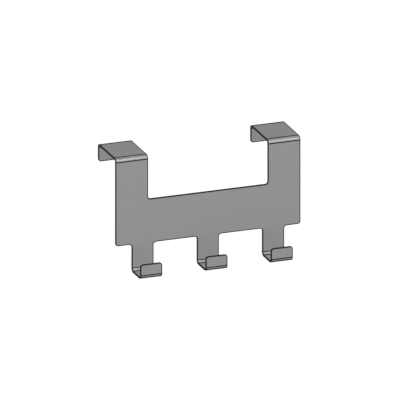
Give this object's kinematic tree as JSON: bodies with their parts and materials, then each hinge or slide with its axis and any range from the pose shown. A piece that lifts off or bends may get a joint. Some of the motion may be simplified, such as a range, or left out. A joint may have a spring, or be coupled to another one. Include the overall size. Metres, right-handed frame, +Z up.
{
  "type": "over-door hook rack",
  "caption": "Grey coated, folded steel sheet rack that hangs over the top of a door by two arms and carries a row of forward-bent coat hooks, with foam pads against the door.",
  "frame": {"origin": "the door's top front edge, midway along the rack: Y = 0 is the door's front face, where the back pads touch, and Z = 0 is its top face, where the top pads rest", "axes": "+X along the rack to the right as seen from the room, +Y through the door, -Y towards the room, +Z up"},
  "size_m": [0.17, 0.0655, 0.105],
  "materials": {
    "grey_coat": "satin",
    "foam": "matte"
  },
  "bodies": {
    "root": {"folded_rack_sheet": "grey_coat", "door_top_pad_left": "foam", "door_top_pad_right": "foam", "arm_back_pad_left": "foam", "arm_back_pad_right": "foam", "plate_back_pad_1": "foam", "plate_back_pad_2": "foam", "plate_back_pad_3": "foam"}
  },
  "joints": []
}
